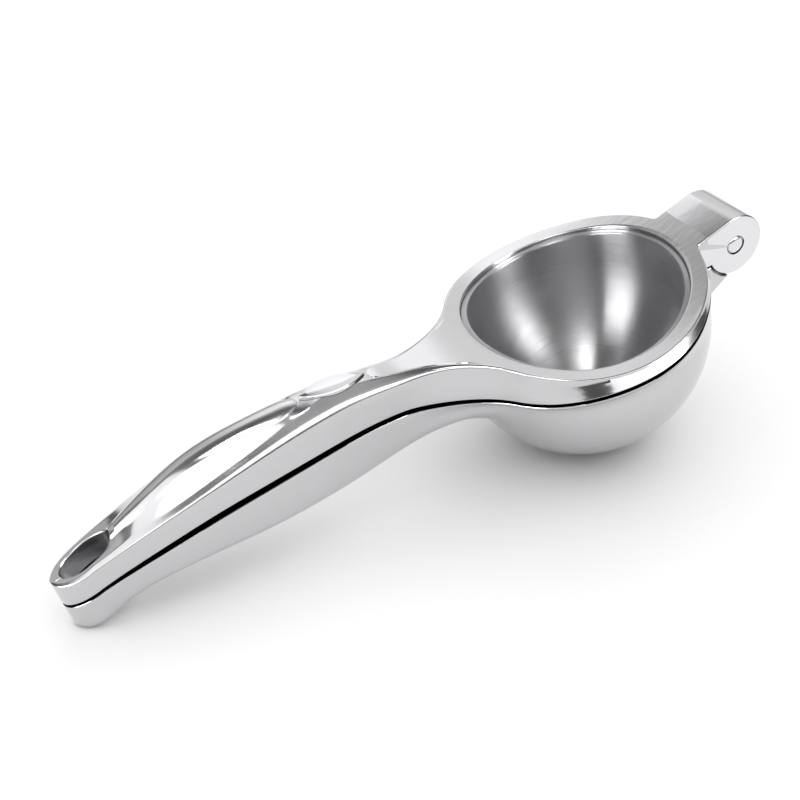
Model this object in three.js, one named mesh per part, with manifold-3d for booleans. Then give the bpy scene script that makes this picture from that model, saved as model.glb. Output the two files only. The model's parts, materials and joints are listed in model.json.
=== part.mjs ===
import * as THREE from 'three';
import { mergeVertices } from 'three/addons/utils/BufferGeometryUtils.js';
import Module from 'manifold-3d';

const wasm = await Module();
wasm.setup();

// ---------------------------------------------------------------------------
// Driving dimensions, in millimetres. The levers are drawn in the ring's own
// frame: origin at the ring's centre, X towards the hinge, Z out of the ring.
// ---------------------------------------------------------------------------
const RING_TOP_R = 36;
const RING_PART_R = 38;
const RING_BORE_R = 31.4;
const NECK_HALF = 5.9;
const NECK_FILLET = 30;
const HINGE_HALF = 9.5;
const HINGE_FILLET = 4;

const TIP_X = -146;
const TIP_LENGTH = 10.8;
const TIP_LAST_ANGLE = 1.48;

const PARTING_GAP = 1.2;
const FIT_GAP = 0.3;

// Lines along the levers, each a few [x, value] points joined by a spline.
const HALF_WIDTH = [[-146, 6.8], [-138, 7.5], [-125, 8.4], [-110, 8.7], [-95, 8.3],
  [-80, 7.4], [-66, 6.3], [-57.6, 5.9]];
const WALL_TOP = [[-157, -2.2], [-148, -0.6], [-140, 1.3], [-130, 3.6], [-115, 6.3], [-101, 8.3],
  [-86, 9.6], [-72, 9.5], [-58, 8.3], [-47, 6.9], [-36, 4.9], [-18, 1.3], [0, 0], [18, 1.3], [36, 4.9],
  [40, 5.8]];
const CREST = [[-157, -2.2], [-147, 0.3], [-138, 4.2], [-130, 7.8], [-122, 11], [-115, 13],
  [-105, 14.2], [-96, 14.3], [-82, 13.4], [-72, 12.2], [-64, 10.6], [-56, 8.6], [-47, 6.9],
  [-36, 4.9], [-18, 1.3], [0, 0], [18, 1.3], [36, 4.9], [40, 5.8]];
const PARTING = [[-157, -10.4], [-148, -7.7], [-140, -5.8], [-130, -4], [-115, -2], [-100, -1.2],
  [-86, -1], [-72, -1.3], [-58, -2.9], [-47, -5], [-36, -5.7], [-18, -4.4], [0, -3.2], [18, -1.8],
  [38, 2]];
const UNDERSIDE = [[-157, -18.2], [-154, -19.5], [-150, -19.1], [-145, -17], [-138, -14.6],
  [-126, -13.6], [-115, -14.2], [-101, -15.7], [-86, -16.3], [-72, -16], [-60, -15], [-50, -14.6]];

// Upper handle's cross-section. The parts are of its half width or crown height.
const EDGE_ROUND = 0.7;
const EDGE_MOST_PART = 0.3;
const EDGE_MIDDLE = 0.3;
const SHELF_WIDTH = 1.3;
const SHELF_MOST_PART = 0.35;
const SHELF_RISE = 0.12;
const SPINE_PART = 0.42;
const FLANK_RISE = 0.72;
const LEAST_CROWN = 0.02;

// Bowl under the ring.
const BOWL_R = 36.2;
const BOWL_WALL = 2.2;
const BOWL_CENTRE_Z = -9.2;
const BOWL_FILLET = 12;
const BOWL_SIDE = 1.5;
const FOOT_R = 4;
const FOOT_HEIGHT = 1.5;
const FOOT_DROP = 36.116;
const HANDLE_SQUARENESS = 3;
const SQUARING_REACH = [BOWL_R - 4, BOWL_R + 18];

// Press cup, seated in the ring's bore.
const CUP_R = 31.1;
const CUP_WALL = 1.5;
const CUP_CENTRE_Z = -8;
const CUP_LIP_DROP = 1.4;

// Drain holes in the bottom of the bowl.
const DRAIN_R = 1.8;
const DRAIN_RINGS = [[0, 1], [6.5, 6], [13, 12]];

// Hinge: two ears on the upper lever, a tongue on the lower one, one pin.
const PIN_X = 47.8;
const PIN_Z = -1.7;
const PIN_R = 2.6;
const PIN_DOME = 0.5;
const PIN_END = [[0, 0], [0.55 * PIN_R, 0.1], [0.85 * PIN_R, 0.4], [PIN_R, 0.9]];
const PIN_BORE_R = 2.66;
const EAR_R = 8.9;
const EAR_FOOT_Z = -4.4;
const EAR_BACK_X = 35;
const EAR_BACK_Z = 3;
const EAR_OVERLAP = [1, 1.2];
const HINGE_START_X = 38.5;
const SEAT_R = 9.35;
const SLOT_R = 7;
const SLOT_ANGLES = [197, 365];
const TONGUE_HALF = 4.6;
const TONGUE_R = 6.3;
const WEB_ANGLES = [202, 256];
const BRACKET_TOP_Z = -4.95;
const BRACKET_SEAT_ANGLES = [200, 250];
const BRACKET_TOE = [37, -15];
const BRACKET_ROOT = [33, -19];
const BRACKET_BACK_X = 30;

// Hanging hole near the tip, an oval through both levers.
const HOLE_X = -146.3;
const HOLE_HALF_LENGTH = 7.7;
const HOLE_HALF_WIDTH = 4.3;

// Lens-shaped plate let into the top of the handle.
const BADGE_X = -73;
const BADGE_HALF_LENGTH = 9.2;
const BADGE_HALF_WIDTH = 3.5;
const BADGE_THICKNESS = 1.8;
const BADGE_RISE = 0.6;

// Cored pockets in the mating faces of the handles.
const POCKET_START = -66;
const POCKET_END = -133;
const POCKET_WALL = 2.6;
const POCKET_FLOOR = 3.2;
const POCKET_ROOF = 1.5;
const POCKET_SQUARENESS = 8;

// Low land between the handles, which they close on.
const STOP_X = -136.5;
const STOP_LENGTH = 3;
const STOP_INSET = 1.5;
const STOP_ROOT = 3;

// Lean of the ring when the closed press lies on a table, in degrees.
const REST_TILT = 9.74;

// How far a cutter or a blank reaches past what it cuts.
const CUT_LOW = -60;
const CUT_HIGH = 30;
const CUT_PAST = 2;

const STEPS_ROUND = 60;
const STEPS_PIN = 40;
const STEPS_DRAIN = 10;

// ---------------------------------------------------------------------------
// Curves along the levers
// ---------------------------------------------------------------------------
function spline(points) {
  const curve = new THREE.CubicInterpolant(points.map((p) => p[0]), points.map((p) => p[1]), 1);
  const first = points[0][0];
  const last = points[points.length - 1][0];
  return (x) => curve.evaluate(THREE.MathUtils.clamp(x, first, last))[0];
}

const handleHalf = spline(HALF_WIDTH);
const wallTop = spline(WALL_TOP);
const crest = spline(CREST);
const parting = spline(PARTING);
const underside = spline(UNDERSIDE);

// Outline of a disc that runs into a straight bar through a hollow fillet.
// Gives the half width at a distance from the disc's centre.
function discIntoBar(distance, disc, bar, fillet) {
  const centreY = bar + fillet;
  const centreX = Math.sqrt((disc + fillet) ** 2 - centreY ** 2);
  if (distance < centreX * disc / (disc + fillet)) {
    return Math.sqrt(disc * disc - distance * distance);
  }
  if (distance < centreX) {
    return centreY - Math.sqrt(fillet ** 2 - (distance - centreX) ** 2);
  }
  return bar;
}

// Half width of a lever seen from above: hinge end, ring, neck, handle, tip.
function halfWidth(x, ring) {
  if (x > 0) {
    return discIntoBar(x, ring, HINGE_HALF, HINGE_FILLET);
  }
  if (x > HALF_WIDTH[HALF_WIDTH.length - 1][0]) {
    return discIntoBar(-x, ring, NECK_HALF, NECK_FILLET);
  }
  if (x > TIP_X) {
    return handleHalf(x);
  }
  return handleHalf(TIP_X) * Math.sqrt(1 - ((x - TIP_X) / TIP_LENGTH) ** 2);
}

function range(count, from, to) {
  return Array.from({ length: count + 1 }, (_, i) => from + (to - from) * i / count);
}

// Stations along a lever, closer together round the tip and the ring's ends.
function stations(last) {
  const tip = range(6, TIP_LAST_ANGLE, 0).map((a) => TIP_X - TIP_LENGTH * Math.sin(a));
  const handle = range(20, TIP_X, -RING_TOP_R).slice(1);
  const ring = range(18, Math.PI, 0.1).slice(1).map((a) => RING_TOP_R * Math.cos(a));
  return [...tip, ...handle, ...ring, last];
}

// ---------------------------------------------------------------------------
// Solids
// ---------------------------------------------------------------------------
function solidOf(geometry) {
  geometry.deleteAttribute('normal');
  geometry.deleteAttribute('uv');
  const merged = mergeVertices(geometry, 1e-4);
  const source = merged.index.array;
  const kept = [];
  for (let i = 0; i < source.length; i += 3) {
    const [a, b, c] = [source[i], source[i + 1], source[i + 2]];
    if (a !== b && b !== c && c !== a) {
      kept.push(a, b, c);
    }
  }
  return new wasm.Manifold(new wasm.Mesh({
    numProp: 3,
    vertProperties: new Float32Array(merged.attributes.position.array),
    triVerts: new Uint32Array(kept),
  }));
}

function solidFrom(positions, index) {
  const geometry = new THREE.BufferGeometry();
  geometry.setAttribute('position', new THREE.Float32BufferAttribute(positions, 3));
  geometry.setIndex(index);
  return solidOf(geometry);
}

// Skin over rows of points along X: each row is a closed loop, both ends capped.
function loft(rows) {
  const count = rows[0].length;
  const index = [];
  for (let i = 0; i < rows.length - 1; i += 1) {
    for (let j = 0; j < count; j += 1) {
      const a = i * count + j;
      const b = i * count + (j + 1) % count;
      index.push(a, b, a + count, b, b + count, a + count);
    }
  }
  const outline = (row) => row.map((p) => new THREE.Vector2(p[1], p[2]));
  THREE.ShapeUtils.triangulateShape(outline(rows[0]), []).forEach(([a, b, c]) => index.push(a, c, b));
  const last = (rows.length - 1) * count;
  THREE.ShapeUtils.triangulateShape(outline(rows[rows.length - 1]), []).forEach(([a, b, c]) => {
    index.push(last + a, last + b, last + c);
  });
  return solidFrom(rows.flat(2), index);
}

// The half section runs from the bottom middle, out and up, to the top middle.
function mirrored(x, half) {
  const left = half.slice(1, -1).reverse().map(([y, z]) => [-y, z]);
  return half.concat(left).map(([y, z]) => [x, y, z]);
}

// Turned body: [radius, height] points from axis to axis, up the outside first.
function turned(profile, steps) {
  const geometry = new THREE.LatheGeometry(profile.map((p) => new THREE.Vector2(...p)), steps);
  geometry.rotateX(Math.PI / 2);
  return solidOf(geometry);
}

// Outline of [x, z] points pushed out to both sides of the middle plane.
function slab(outline, half) {
  const shape = new THREE.Shape(outline.map((p) => new THREE.Vector2(...p)));
  const geometry = new THREE.ExtrudeGeometry(shape, { depth: 2 * half, bevelEnabled: false });
  geometry.rotateX(Math.PI / 2);
  geometry.translate(0, half, 0);
  return solidOf(geometry);
}

function polar(x, z, radius, angle) {
  const a = THREE.MathUtils.degToRad(angle);
  return [x + radius * Math.cos(a), z + radius * Math.sin(a)];
}

function arc(x, z, radius, from, to, count) {
  return range(count, from, to).map((angle) => polar(x, z, radius, angle));
}

function crossCylinder(radius, half) {
  const geometry = new THREE.CylinderGeometry(radius, radius, 2 * half, STEPS_PIN);
  geometry.translate(PIN_X, 0, PIN_Z);
  return solidOf(geometry);
}

function column(x, y, halfLength, halfWide, low, high, steps) {
  const geometry = new THREE.CylinderGeometry(1, 1, high - low, steps);
  geometry.rotateX(Math.PI / 2);
  geometry.scale(halfLength, halfWide, 1);
  geometry.translate(x, y, (low + high) / 2);
  return solidOf(geometry);
}

// ---------------------------------------------------------------------------
// Upper lever
// ---------------------------------------------------------------------------

// Flared wall, rounded edge, narrow shelf, convex flank and a raised spine.
function upperSection(x) {
  const top = wallTop(x);
  const foot = parting(x) + PARTING_GAP / 2;
  const wide = halfWidth(x, RING_TOP_R);
  const rise = Math.max(crest(x) - top, LEAST_CROWN);
  const edge = Math.min(EDGE_ROUND, EDGE_MOST_PART * wide);
  const shelf = wide - Math.min(SHELF_WIDTH, SHELF_MOST_PART * wide);
  const spine = SPINE_PART * wide;
  const flankFoot = top + SHELF_RISE * rise;
  const flankTop = top + FLANK_RISE * rise;
  const quarter = range(4, 0, Math.PI / 2);
  const flank = quarter.map((a) => [spine + (shelf - spine) * Math.cos(a),
    flankFoot + (flankTop - flankFoot) * Math.sin(a)]);
  const back = quarter.slice(1).map((a) => [spine * Math.cos(a),
    flankTop + (top + rise - flankTop) * Math.sin(a)]);
  return mirrored(x, [[0, foot], [halfWidth(x, RING_PART_R), foot], [wide, top - edge],
    [wide - EDGE_MIDDLE * edge, top - EDGE_MIDDLE * edge], [wide - edge, top], ...flank, ...back]);
}

// Ears in side view: a disc round the pin that runs straight into the ring.
function earOutline() {
  const start = [HINGE_START_X, wallTop(HINGE_START_X)];
  const away = Math.hypot(start[0] - PIN_X, start[1] - PIN_Z);
  const towards = Math.atan2(start[1] - PIN_Z, start[0] - PIN_X);
  const tangent = THREE.MathUtils.radToDeg(towards - Math.acos(EAR_R / away));
  const footAngle = THREE.MathUtils.radToDeg(Math.asin((PIN_Z - EAR_FOOT_Z) / EAR_R));
  return [[EAR_BACK_X, EAR_BACK_Z], [EAR_BACK_X, EAR_FOOT_Z],
    ...arc(PIN_X, PIN_Z, EAR_R, footAngle - 180, tangent, 30),
    start, [start[0] - EAR_OVERLAP[0], start[1] - EAR_OVERLAP[1]]];
}

function slotOutline() {
  const [from, to] = SLOT_ANGLES;
  const outside = EAR_R + CUT_PAST;
  return [...arc(PIN_X, PIN_Z, outside, from, to, 12), ...arc(PIN_X, PIN_Z, SLOT_R, to - 360, from, 24)];
}

// Tilt of a line along the levers at x, over a short stretch to both sides.
function tiltOf(line, x, reach) {
  return Math.atan2(line(x - reach) - line(x + reach), 2 * reach);
}

// Pocket with rounded ends, cut up or down into a handle from its mating face.
function pocket(lowAt, highAt) {
  const middle = (POCKET_START + POCKET_END) / 2;
  const reach = (POCKET_START - POCKET_END) / 2;
  return loft(range(20, -1, 1).map((t) => {
    const u = Math.sign(t) * (1 - (1 - Math.abs(t)) ** 2);
    const x = middle + reach * u;
    const roundEnd = Math.max(Math.sqrt(1 - u ** POCKET_SQUARENESS), 0.1);
    const half = (halfWidth(x, RING_TOP_R) - POCKET_WALL) * roundEnd;
    return mirrored(x, [[0, lowAt(x)], [half, lowAt(x)], [half, highAt(x)], [0, highAt(x)]]);
  }));
}

function lens(grow, low, high) {
  const halfLength = BADGE_HALF_LENGTH + grow;
  const halfWide = BADGE_HALF_WIDTH + grow;
  const radius = (halfLength ** 2 + halfWide ** 2) / (2 * halfWide);
  const reach = THREE.MathUtils.radToDeg(Math.asin(halfLength / radius));
  const outline = [...arc(0, halfWide - radius, radius, 90 - reach, 90 + reach, 16),
    ...arc(0, radius - halfWide, radius, 270 - reach, 270 + reach, 16)];
  const shape = new THREE.Shape(outline.map((p) => new THREE.Vector2(...p)));
  const geometry = new THREE.ExtrudeGeometry(shape, { depth: high - low, bevelEnabled: false });
  geometry.translate(0, 0, low);
  geometry.rotateY(tiltOf(crest, BADGE_X, BADGE_HALF_LENGTH / 2));
  geometry.translate(BADGE_X, 0, crest(BADGE_X));
  return solidOf(geometry);
}

function upperHandle() {
  return loft(stations(HINGE_START_X).map(upperSection))
    .add(slab(earOutline(), HINGE_HALF))
    .subtract(column(0, 0, RING_BORE_R, RING_BORE_R, CUT_LOW, CUT_HIGH, STEPS_ROUND))
    .subtract(slab(slotOutline(), TONGUE_HALF + FIT_GAP))
    .subtract(crossCylinder(PIN_BORE_R, HINGE_HALF + CUT_PAST))
    .subtract(pocket((x) => parting(x) - CUT_PAST, (x) => wallTop(x) - POCKET_ROOF))
    .subtract(column(HOLE_X, 0, HOLE_HALF_LENGTH, HOLE_HALF_WIDTH, CUT_LOW, CUT_HIGH, STEPS_PIN))
    .subtract(lens(FIT_GAP, -BADGE_THICKNESS - FIT_GAP, BADGE_RISE + CUT_PAST));
}

function badgePlate() {
  return lens(0, -BADGE_THICKNESS, BADGE_RISE);
}

// Thin turned cup. Its lip is trimmed to follow the curved top of the ring.
function pressCup() {
  const outer = arc(0, CUP_CENTRE_Z, CUP_R, -90, 0, 12);
  const inner = arc(0, CUP_CENTRE_Z, CUP_R - CUP_WALL, 0, -90, 12);
  const blank = turned([...outer, [CUP_R, CUT_HIGH], [CUP_R - CUP_WALL, CUT_HIGH], ...inner], STEPS_ROUND);
  const lip = stations(HINGE_START_X).filter((x) => Math.abs(x) <= HINGE_START_X);
  const high = lip.map((x) => [x, wallTop(x) - CUP_LIP_DROP]).reverse();
  return blank.intersect(slab([[high[0][0], CUT_LOW], ...high, [high.at(-1)[0], CUT_LOW]], RING_TOP_R));
}

// ---------------------------------------------------------------------------
// Lower lever
// ---------------------------------------------------------------------------

// Half a circle under the ring, which squares up into the handle's section.
function lowerSection(x) {
  const rim = parting(x) - PARTING_GAP / 2;
  const centre = Math.min(BOWL_CENTRE_Z, rim - BOWL_SIDE);
  const wide = x > 0 ? Math.sqrt(BOWL_R ** 2 - x * x) : halfWidth(x, BOWL_R);
  const rimHalf = x > 0 ? Math.sqrt(RING_PART_R ** 2 - x * x) : halfWidth(x, RING_PART_R);
  const belly = x > UNDERSIDE[UNDERSIDE.length - 1][0]
    ? discIntoBar(Math.abs(x), BOWL_R, centre - underside(x), BOWL_FILLET)
    : centre - underside(x);
  const deep = x > 0 ? wide : belly;
  const square = 2 + HANDLE_SQUARENESS * THREE.MathUtils.smoothstep(-x, ...SQUARING_REACH);
  const arcPoints = range(7, 0, Math.PI / 2).map((a) => [
    wide * Math.sin(a) ** (2 / square), centre - deep * Math.max(Math.cos(a), 0) ** (2 / square)]);
  return mirrored(x, [...arcPoints, [rimHalf, rim], [0, rim]]);
}

function bowlHollow() {
  const inner = BOWL_R - BOWL_WALL;
  const side = arc(0, BOWL_CENTRE_Z, inner, -90, 0, 13);
  return turned([...side, [inner, CUT_HIGH], [0, CUT_HIGH]], STEPS_ROUND);
}

// Small flat foot round the lowest drain hole, level with the table.
function foot() {
  const geometry = new THREE.CylinderGeometry(FOOT_R, FOOT_R, FOOT_HEIGHT, STEPS_PIN);
  geometry.rotateX(Math.PI / 2);
  geometry.translate(0, 0, FOOT_HEIGHT / 2 - FOOT_DROP);
  geometry.rotateY(THREE.MathUtils.degToRad(REST_TILT));
  geometry.translate(0, 0, BOWL_CENTRE_Z);
  return solidOf(geometry);
}

// Bracket behind the bowl, hollowed out under the ears.
function bracket() {
  const [from, to] = BRACKET_SEAT_ANGLES;
  return slab([[BRACKET_ROOT[0], BRACKET_TOP_Z], BRACKET_ROOT, BRACKET_TOE,
    ...arc(PIN_X, PIN_Z, SEAT_R, to, from, 12)], HINGE_HALF);
}

// Tongue between the ears: a disc round the pin and the web that carries it.
function tongue() {
  const [from, to] = WEB_ANGLES;
  const web = slab([[PIN_X, PIN_Z], polar(PIN_X, PIN_Z, SEAT_R + 1, from), BRACKET_TOE,
    polar(PIN_X, PIN_Z, SEAT_R, to)], TONGUE_HALF);
  return crossCylinder(TONGUE_R, TONGUE_HALF).add(web);
}

function drainHoles() {
  return DRAIN_RINGS.flatMap(([radius, count]) => Array.from({ length: count }, (_, i) => {
    const angle = 2 * Math.PI * i / count;
    const [x, y] = [radius * Math.cos(angle), radius * Math.sin(angle)];
    return column(x, y, DRAIN_R, DRAIN_R, CUT_LOW, BOWL_CENTRE_Z, STEPS_DRAIN);
  }));
}

// Low land that the upper handle closes on, lying along the mating face.
function stopLand() {
  const across = 2 * (handleHalf(STOP_X) - STOP_INSET);
  const geometry = new THREE.BoxGeometry(STOP_LENGTH, across, STOP_ROOT);
  geometry.translate(0, 0, PARTING_GAP / 2 - FIT_GAP - STOP_ROOT / 2);
  geometry.rotateY(tiltOf(parting, STOP_X, STOP_LENGTH / 2));
  geometry.translate(STOP_X, 0, parting(STOP_X));
  return solidOf(geometry);
}

function lowerHandle() {
  const far = PIN_X + EAR_R;
  const clearance = slab([[BRACKET_BACK_X, BRACKET_TOP_Z], [far, BRACKET_TOP_Z], [far, CUT_HIGH],
    [BRACKET_BACK_X, CUT_HIGH]], HINGE_HALF + FIT_GAP);
  const last = BOWL_R - 0.1;
  let solid = loft(stations(last).filter((x) => x <= last).map(lowerSection))
    .add(stopLand())
    .add(foot())
    .subtract(clearance)
    .add(bracket())
    .add(tongue())
    .subtract(bowlHollow())
    .subtract(crossCylinder(PIN_BORE_R, HINGE_HALF))
    .subtract(pocket((x) => underside(x) + POCKET_FLOOR, (x) => parting(x) + CUT_PAST))
    .subtract(column(HOLE_X, 0, HOLE_HALF_LENGTH, HOLE_HALF_WIDTH, CUT_LOW, CUT_HIGH, STEPS_PIN));
  drainHoles().forEach((hole) => {
    solid = solid.subtract(hole);
  });
  return solid;
}

// Plain pin with a low dome on each end.
function hingePin() {
  const profile = PIN_END.map(([r, down]) => [r, down - HINGE_HALF - PIN_DOME]);
  const whole = [...profile, ...profile.map(([r, y]) => [r, -y]).reverse()];
  const geometry = new THREE.LatheGeometry(whole.map((p) => new THREE.Vector2(...p)), STEPS_PIN);
  geometry.translate(PIN_X, 0, PIN_Z);
  return solidOf(geometry);
}

// ---------------------------------------------------------------------------
// Materials and assembly
// ---------------------------------------------------------------------------
function metal(color, roughness) {
  return new THREE.MeshStandardMaterial({ color, roughness, metalness: 1 });
}

const polished = metal(0xd8d9dc, 0.12);
const turnedFinish = metal(0xb9babd, 0.3);
const pinSteel = metal(0xc6c7ca, 0.25);

const pieces = [
  ['upper_handle', upperHandle(), polished],
  ['press_cup', pressCup(), turnedFinish],
  ['badge_plate', badgePlate(), polished],
  ['lower_handle', lowerHandle(), polished],
  ['hinge_pin', hingePin(), pinSteel],
];

function meshOf(name, solid, material) {
  const { vertProperties, triVerts } = solid.getMesh();
  const geometry = new THREE.BufferGeometry();
  geometry.setAttribute('position', new THREE.Float32BufferAttribute(vertProperties, 3));
  geometry.setIndex(Array.from(triVerts));
  geometry.rotateY(-THREE.MathUtils.degToRad(REST_TILT));
  const mesh = new THREE.Mesh(geometry, material);
  mesh.name = name;
  return mesh;
}

// The closed press stands on the bottom of its bowl and on its tip.
const group = new THREE.Group();
pieces.forEach((piece) => group.add(meshOf(...piece)));
const bounds = new THREE.Box3().setFromObject(group);
const centre = bounds.getCenter(new THREE.Vector3());
group.position.set(-centre.x, 0, -bounds.min.z);
group.updateMatrixWorld(true);

export default group;
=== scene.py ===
import json
import math

import bpy
import numpy as np
from mathutils import Matrix, Vector
from mathutils.bvhtree import BVHTree

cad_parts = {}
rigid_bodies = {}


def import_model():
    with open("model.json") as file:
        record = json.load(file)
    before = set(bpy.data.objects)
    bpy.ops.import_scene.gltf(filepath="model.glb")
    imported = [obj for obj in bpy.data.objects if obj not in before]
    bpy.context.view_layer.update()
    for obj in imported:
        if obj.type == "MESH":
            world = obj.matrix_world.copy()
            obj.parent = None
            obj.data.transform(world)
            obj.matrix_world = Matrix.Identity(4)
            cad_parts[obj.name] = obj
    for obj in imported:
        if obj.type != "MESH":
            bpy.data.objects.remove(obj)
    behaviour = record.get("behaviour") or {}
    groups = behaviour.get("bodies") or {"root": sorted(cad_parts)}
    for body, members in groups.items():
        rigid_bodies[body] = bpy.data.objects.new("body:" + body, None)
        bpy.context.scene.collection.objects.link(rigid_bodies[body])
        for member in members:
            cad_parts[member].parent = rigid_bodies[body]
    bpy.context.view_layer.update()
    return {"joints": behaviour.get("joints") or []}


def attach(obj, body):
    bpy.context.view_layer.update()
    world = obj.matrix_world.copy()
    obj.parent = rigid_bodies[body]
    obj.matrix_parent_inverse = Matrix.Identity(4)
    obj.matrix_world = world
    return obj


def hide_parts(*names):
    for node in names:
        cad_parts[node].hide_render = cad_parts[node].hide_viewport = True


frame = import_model()

# ---------------------------------------------------------------------------
# Driving dimensions, in millimetres, in the ring's own frame: origin at the
# ring's centre, X towards the hinge, Z out of the ring. The levers' lines are
# the CAD part's, with more detail on top.
# ---------------------------------------------------------------------------
MM = 0.001
REST_TILT = math.radians(9.74)

RING_TOP_R = 36
RING_PART_R = 37.95
RING_HINGE_R = 36.6
RING_BORE_R = 31.4
NECK_HALF = 5.9
NECK_FILLET = 30
HINGE_HALF = 9.5
HINGE_FILLET = 1.5
TIP_X = -146
TIP_LENGTH = 10.73
FIT_GAP = 0.3

HALF_WIDTH = [[-146, 6.8], [-138, 7.5], [-125, 8.4], [-110, 8.7], [-95, 8.3], [-80, 7.4],
              [-66, 6.3], [-57.6, 5.9]]
WALL_TOP = [[-157, -2.2], [-148, -0.6], [-140, 1.3], [-130, 3.6], [-115, 6.3], [-101, 8.3],
            [-86, 9.6], [-72, 9.5], [-58, 8.3], [-47, 6.9], [-36, 4.9], [-18, 1.3], [0, 0],
            [18, 1.3], [36, 4.9], [40, 5.8]]
CREST = [[-157, -2.2], [-147, 0.3], [-138, 4.2], [-130, 7.8], [-122, 11], [-115, 13],
         [-105, 14.2], [-96, 14.3], [-82, 13.4], [-72, 12.2], [-64, 10.6], [-56, 8.6], [-47, 6.9],
         [-36, 4.9], [-18, 1.3], [0, 0], [18, 1.3], [36, 4.9], [40, 5.8]]
PARTING = [[-157, -10.4], [-148, -7.7], [-140, -5.8], [-130, -4], [-115, -2], [-100, -1.2],
           [-86, -1], [-72, -1.3], [-58, -2.9], [-47, -5], [-36, -5.7], [-18, -4.4], [0, -3.2],
           [18, -1.8], [38, 2]]
UNDERSIDE = [[-157, -18.1], [-154, -19.3], [-150, -18.95], [-145, -17], [-138, -14.6],
             [-126, -13.6], [-115, -14.2], [-101, -15.7], [-86, -16.3], [-72, -16], [-60, -15],
             [-50, -14.6]]

# Top of the handle, from the wall inwards: rounded edge, sloping facet, convex
# flank, then a raised spine (towards the tip) or tongue (towards the ring).
EDGE_ROUND = [[-157, 0.35], [-140, 0.4], [-118, 0.6], [-105, 1.0], [-90, 1.3], [-60, 1.4], [-50, 1.0],
              [-40, 0.7], [-36, 0.6]]
FACET_WIDTH = [[-157, 1.2], [-140, 1.5], [-130, 1.7], [-108, 2.2], [-96, 2.6], [-90, 3.0], [-82, 3.7],
               [-77, 4.2], [-72, 4.2], [-66, 3.8], [-60, 3.2], [-54, 2.6], [-50, 2.1], [-47, 1.7],
               [-40, 1.2], [-30, 0.9], [-18, 0.7], [40, 0.7]]
FACET_SLOPE = [[-157, 0.25], [-140, 0.5], [-125, 0.6], [-108, 0.66], [-90, 0.72], [-82, 0.72],
               [-77, 0.7], [-72, 0.66], [-66, 0.58], [-60, 0.5], [-54, 0.42], [-47, 0.36], [-40, 0.3],
               [-30, 0.2], [-20, 0], [40, 0]]
FLANK_POWER = [[-157, 1.4], [-130, 1.35], [-100, 1.35], [-86, 1.5], [-76, 1.7], [-66, 1.8], [-36, 2]]
RELIEF_HALF = [[-157, 1.2], [-139, 1.8], [-130, 2.7], [-120, 3.2], [-108, 3.5], [-95, 3.4],
               [-84, 3.0], [-77, 1.0], [-72, 0.2], [-68, 0.3], [-64, 1.9], [-60, 2.8], [-56, 3.2],
               [-52, 3.6], [-48, 5.2], [-44, 7], [-40, 9], [-36, 12], [-30, 17]]
SHOULDER_DROP = [[-157, 0.1], [-139, 0.7], [-125, 1.1], [-108, 1.1], [-95, 1.0], [-84, 0.8],
                 [-77, 0.2], [-72, 0], [-68, 0.1], [-63, 0.5], [-58, 0.4], [-52, 0.2], [-46, 0.05],
                 [-36, 0]]
STEP = [[-157, 0.1], [-139, 0.35], [-125, 0.25], [-108, 0.15], [-95, 0.15], [-86, 0.22], [-72, 0.1],
        [-64, 0.2], [-60, 0.28], [-47, 0.22], [-40, 0.12], [-32, 0], [40, 0]]
GAP = [[-157, 1.1], [-148, 1.0], [-140, 1.3], [-125, 1.8], [-110, 2.0], [-95, 1.9], [-80, 1.75],
       [-60, 1.5], [-47, 1.3], [-36, 1.2], [40, 1.2]]
SPINE_POWER = 2.2
SPINE_END = -82.9
SPINE_CAP = 7.0
TONGUE_END = -63.2
TONGUE_CAP = 3.5

# Bowl, cup and drain holes.
BOWL_R = 36.2
BOWL_WALL = 2.2
BOWL_CENTRE_Z = -9.12
BOWL_FILLET = 12
BOWL_SIDE = 1.5
POLE_ANGLE = -89.6
SQUARENESS = 3
SQUARING_REACH = [BOWL_R - 4, BOWL_R + 18]
FOOT_R = 4
FOOT_HEIGHT = 1.5
FOOT_DROP = 36.165
CUP_R = 31.3
CUP_WALL = 1.7
CUP_CENTRE_Z = -8
CUP_LIP_DROP = 1.2
CUP_LIP_ROUND = 0.45
DRAIN_R = 1.8
DRAIN_RINGS = [[0, 1], [6.5, 6], [13, 12]]
DRAIN_REACH = [-52, -38]

# Hinge.
PIN_X = 47.8
PIN_Z = -1.7
PIN_R = 2.6
PIN_DOME = 0.5
PIN_EDGE = 0.9
PIN_BORE_R = 2.66
PIN_GROOVE = [0.28, 0.9]
EAR_R = 8.86
EAR_FOOT_Z = -4.4
EAR_BACK_X = 35
HINGE_START_X = 38.5
SEAT_R = 9.35
SLOT_R = 7
SLOT_ANGLES = [197, 365]
LUG_HALF = 4.6
LUG_R = 6.3
LUG_WEB_ANGLES = [202, 256]
BRACKET_TOP_Z = -4.95
BRACKET_SEAT_ANGLES = [200, 250]
BRACKET_TOE = [37, -15]
BRACKET_ROOT = [33, -19]

# Hanging hole, badge and the cored pockets.
HOLE_X = -146.3
HOLE_HALF_LENGTH = 7.7
HOLE_HALF_WIDTH = 4.3
BADGE_X = -73
BADGE_HALF_LENGTH = 9.2
BADGE_HALF_WIDTH = 3.5
BADGE_RISE = 0.5
BADGE_DEPTH = 1.2
BADGE_CROWN = 0.25
BADGE_CHAMFER = 0.22
BADGE_GAP = 0.12
POCKET_START = -66
POCKET_END = -133
POCKET_WALL = 2.6
POCKET_FLOOR = 3.2
POCKET_ROOF = 1.5
STOP_X = -136.5
STOP_LENGTH = 3
STOP_INSET = 1.5
STOP_ROOT = 3

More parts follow.
